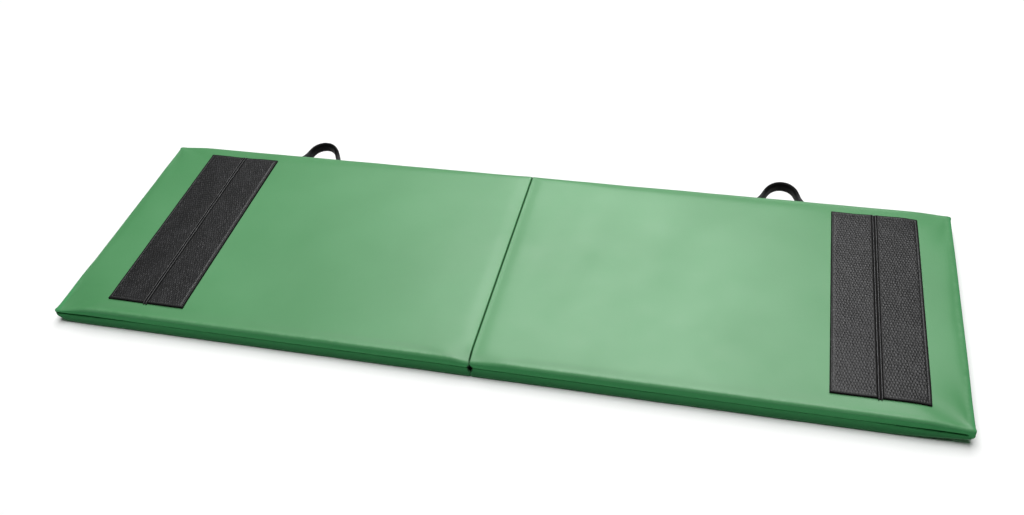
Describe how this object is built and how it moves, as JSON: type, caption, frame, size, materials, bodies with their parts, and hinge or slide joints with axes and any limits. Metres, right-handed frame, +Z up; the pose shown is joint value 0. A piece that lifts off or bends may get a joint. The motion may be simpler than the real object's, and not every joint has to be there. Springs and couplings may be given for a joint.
{
  "type": "folding gym mat",
  "caption": "Long flat foam mat in smooth vinyl that folds across the middle, with grained grip patches near both ends and webbing carry loops on one long side.",
  "frame": {"origin": "on the floor at the middle of the fold, half way across the mat's width", "axes": "+X along the mat towards the right panel, +Y towards the side with the carry loops, +Z up"},
  "size_m": [1.9, 0.684, 0.0542],
  "materials": {
    "cover_vinyl": "smooth green coated vinyl, low sheen",
    "hinge_fabric": "green coated fabric",
    "foam": "closed-cell foam",
    "cover_thread": "green sewing thread",
    "patch_grain": "pebble-grained black leather-look vinyl",
    "patch_thread": "black sewing thread",
    "webbing": "woven black webbing"
  },
  "bodies": {
    "left_panel": {"left_cover_sheet": "cover_vinyl", "left_front_upper_flap": "cover_vinyl", "left_front_lower_flap": "cover_vinyl", "left_back_upper_flap": "cover_vinyl", "left_back_lower_flap": "cover_vinyl", "left_inner_end_band": "cover_vinyl", "left_upper_foam": "foam", "left_lower_foam": "foam", "left_hinge_strip": "hinge_fabric", "left_hinge_stitching": "cover_thread", "left_seam_thread": "cover_thread", "left_patch_inner_strip": "patch_grain", "left_patch_outer_strip": "patch_grain", "left_patch_welt": "patch_grain", "left_patch_stitching": "patch_thread", "left_handle_inner_tab": "webbing", "left_handle_outer_tab": "webbing", "left_handle_stitching": "patch_thread"},
    "right_panel": {"right_cover_sheet": "cover_vinyl", "right_front_upper_flap": "cover_vinyl", "right_front_lower_flap": "cover_vinyl", "right_back_upper_flap": "cover_vinyl", "right_back_lower_flap": "cover_vinyl", "right_inner_end_band": "cover_vinyl", "right_upper_foam": "foam", "right_lower_foam": "foam", "right_hinge_strip": "hinge_fabric", "right_hinge_stitching": "cover_thread", "right_seam_thread": "cover_thread", "right_patch_inner_strip": "patch_grain", "right_patch_outer_strip": "patch_grain", "right_patch_welt": "patch_grain", "right_patch_stitching": "patch_thread", "right_handle_inner_tab": "webbing", "right_handle_outer_tab": "webbing", "right_handle_stitching": "patch_thread"},
    "left_handle": {"left_handle_loop": "webbing"},
    "right_handle": {"right_handle_loop": "webbing"}
  },
  "joints": [
    {"name": "fold", "type": "hinge", "parent": "left_panel", "child": "right_panel", "pos_m": [0, 0, -0.00025], "axis": [0, 1, 0], "range_deg": [0, 180]},
    {"name": "left_handle_swing", "type": "hinge", "parent": "left_panel", "child": "left_handle", "pos_m": [-0.56, 0.301, 0.025], "axis": [1, 0, 0], "range_deg": [-8, 60]},
    {"name": "right_handle_swing", "type": "hinge", "parent": "right_panel", "child": "right_handle", "pos_m": [0.584, 0.301, 0.025], "axis": [1, 0, 0], "range_deg": [-8, 60]}
  ]
}
